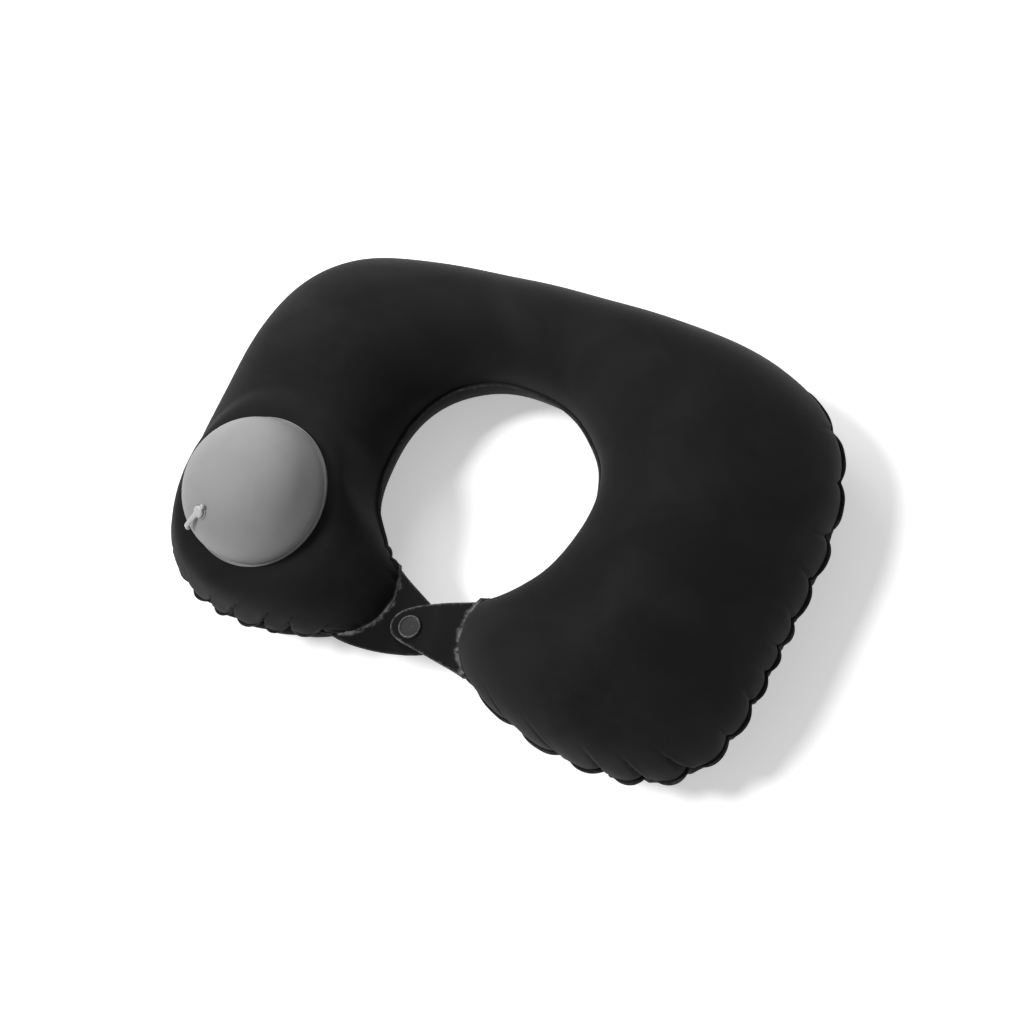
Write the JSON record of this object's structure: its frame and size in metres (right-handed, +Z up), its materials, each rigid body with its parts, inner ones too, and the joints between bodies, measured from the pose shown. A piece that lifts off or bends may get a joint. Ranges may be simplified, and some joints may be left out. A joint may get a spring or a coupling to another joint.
{
  "type": "inflatable neck pillow",
  "caption": "U-shaped inflatable neck pillow of two welded flocked sheets, with a press-pump dome, an intake valve with a pull-tab plug, and two front straps joined by a snap.",
  "frame": {"origin": "on the table, under the middle of the pillow's outline", "axes": "+X to the pillow's left-right side (the pump is at -X), +Y to the back of the neck, -Y to the open front with the straps, +Z up"},
  "size_m": [0.4, 0.2658, 0.125],
  "materials": {
    "flock": "matte",
    "strap_flock": "matte",
    "dome_tpu": "matte",
    "soft_clear": "satin",
    "plug_plastic": "satin",
    "snap_black": "satin",
    "snap_steel": "satin"
  },
  "bodies": {
    "pillow": {"upper_panel": "flock", "lower_panel": "flock", "pump_base": "soft_clear", "pump_skirt": "dome_tpu"},
    "right_strap": {"upper_strap": "strap_flock", "snap_cap": "snap_black", "snap_socket": "snap_steel", "socket_spring": "snap_steel"},
    "left_strap": {"lower_strap": "strap_flock", "snap_stud": "snap_steel", "stud_rivet": "snap_black"},
    "pump": {"pump_crown": "dome_tpu", "valve_seat": "dome_tpu"},
    "plug": {"valve_plug": "plug_plastic"},
    "intake": {"intake_flap": "soft_clear"},
    "outlet": {"outlet_flap": "soft_clear"}
  },
  "joints": [
    {"name": "right_strap_fold", "type": "hinge", "parent": "pillow", "child": "right_strap", "pos_m": [0.02585, -0.09275, 0.0438], "axis": [-0.2454, 0.9694, 0], "range_deg": [0, 90], "stiffness_Nm_per_rad": 0.01},
    {"name": "left_strap_fold", "type": "hinge", "parent": "pillow", "child": "left_strap", "pos_m": [-0.02585, -0.09275, 0.0422], "axis": [-0.2454, -0.9694, 0], "range_deg": [-35, 0], "stiffness_Nm_per_rad": 0.01},
    {"name": "pump_press", "type": "slide", "parent": "pillow", "child": "pump", "axis": [-0.0514, 0.1908, -0.9803], "range_m": [0, 0.015], "stiffness_N_per_m": 1500, "deforming": ["pump_skirt"]},
    {"name": "plug_hinge", "type": "hinge", "parent": "pump", "child": "plug", "pos_m": [-0.12044, -0.09157, 0.11781], "axis": [-0.806, 0.538, 0.247], "range_deg": [0, 110]},
    {"name": "intake_flap_hinge", "type": "hinge", "parent": "pump", "child": "intake", "pos_m": [-0.12093, -0.09046, 0.11379], "axis": [0.806, -0.538, -0.247], "range_deg": [0, 20], "stiffness_Nm_per_rad": 0.0005},
    {"name": "outlet_flap_hinge", "type": "hinge", "parent": "pillow", "child": "outlet", "pos_m": [-0.1218, -0.06431, 0.08242], "axis": [0.01, 0.9816, 0.1905], "range_deg": [0, 25], "stiffness_Nm_per_rad": 0.0005}
  ]
}
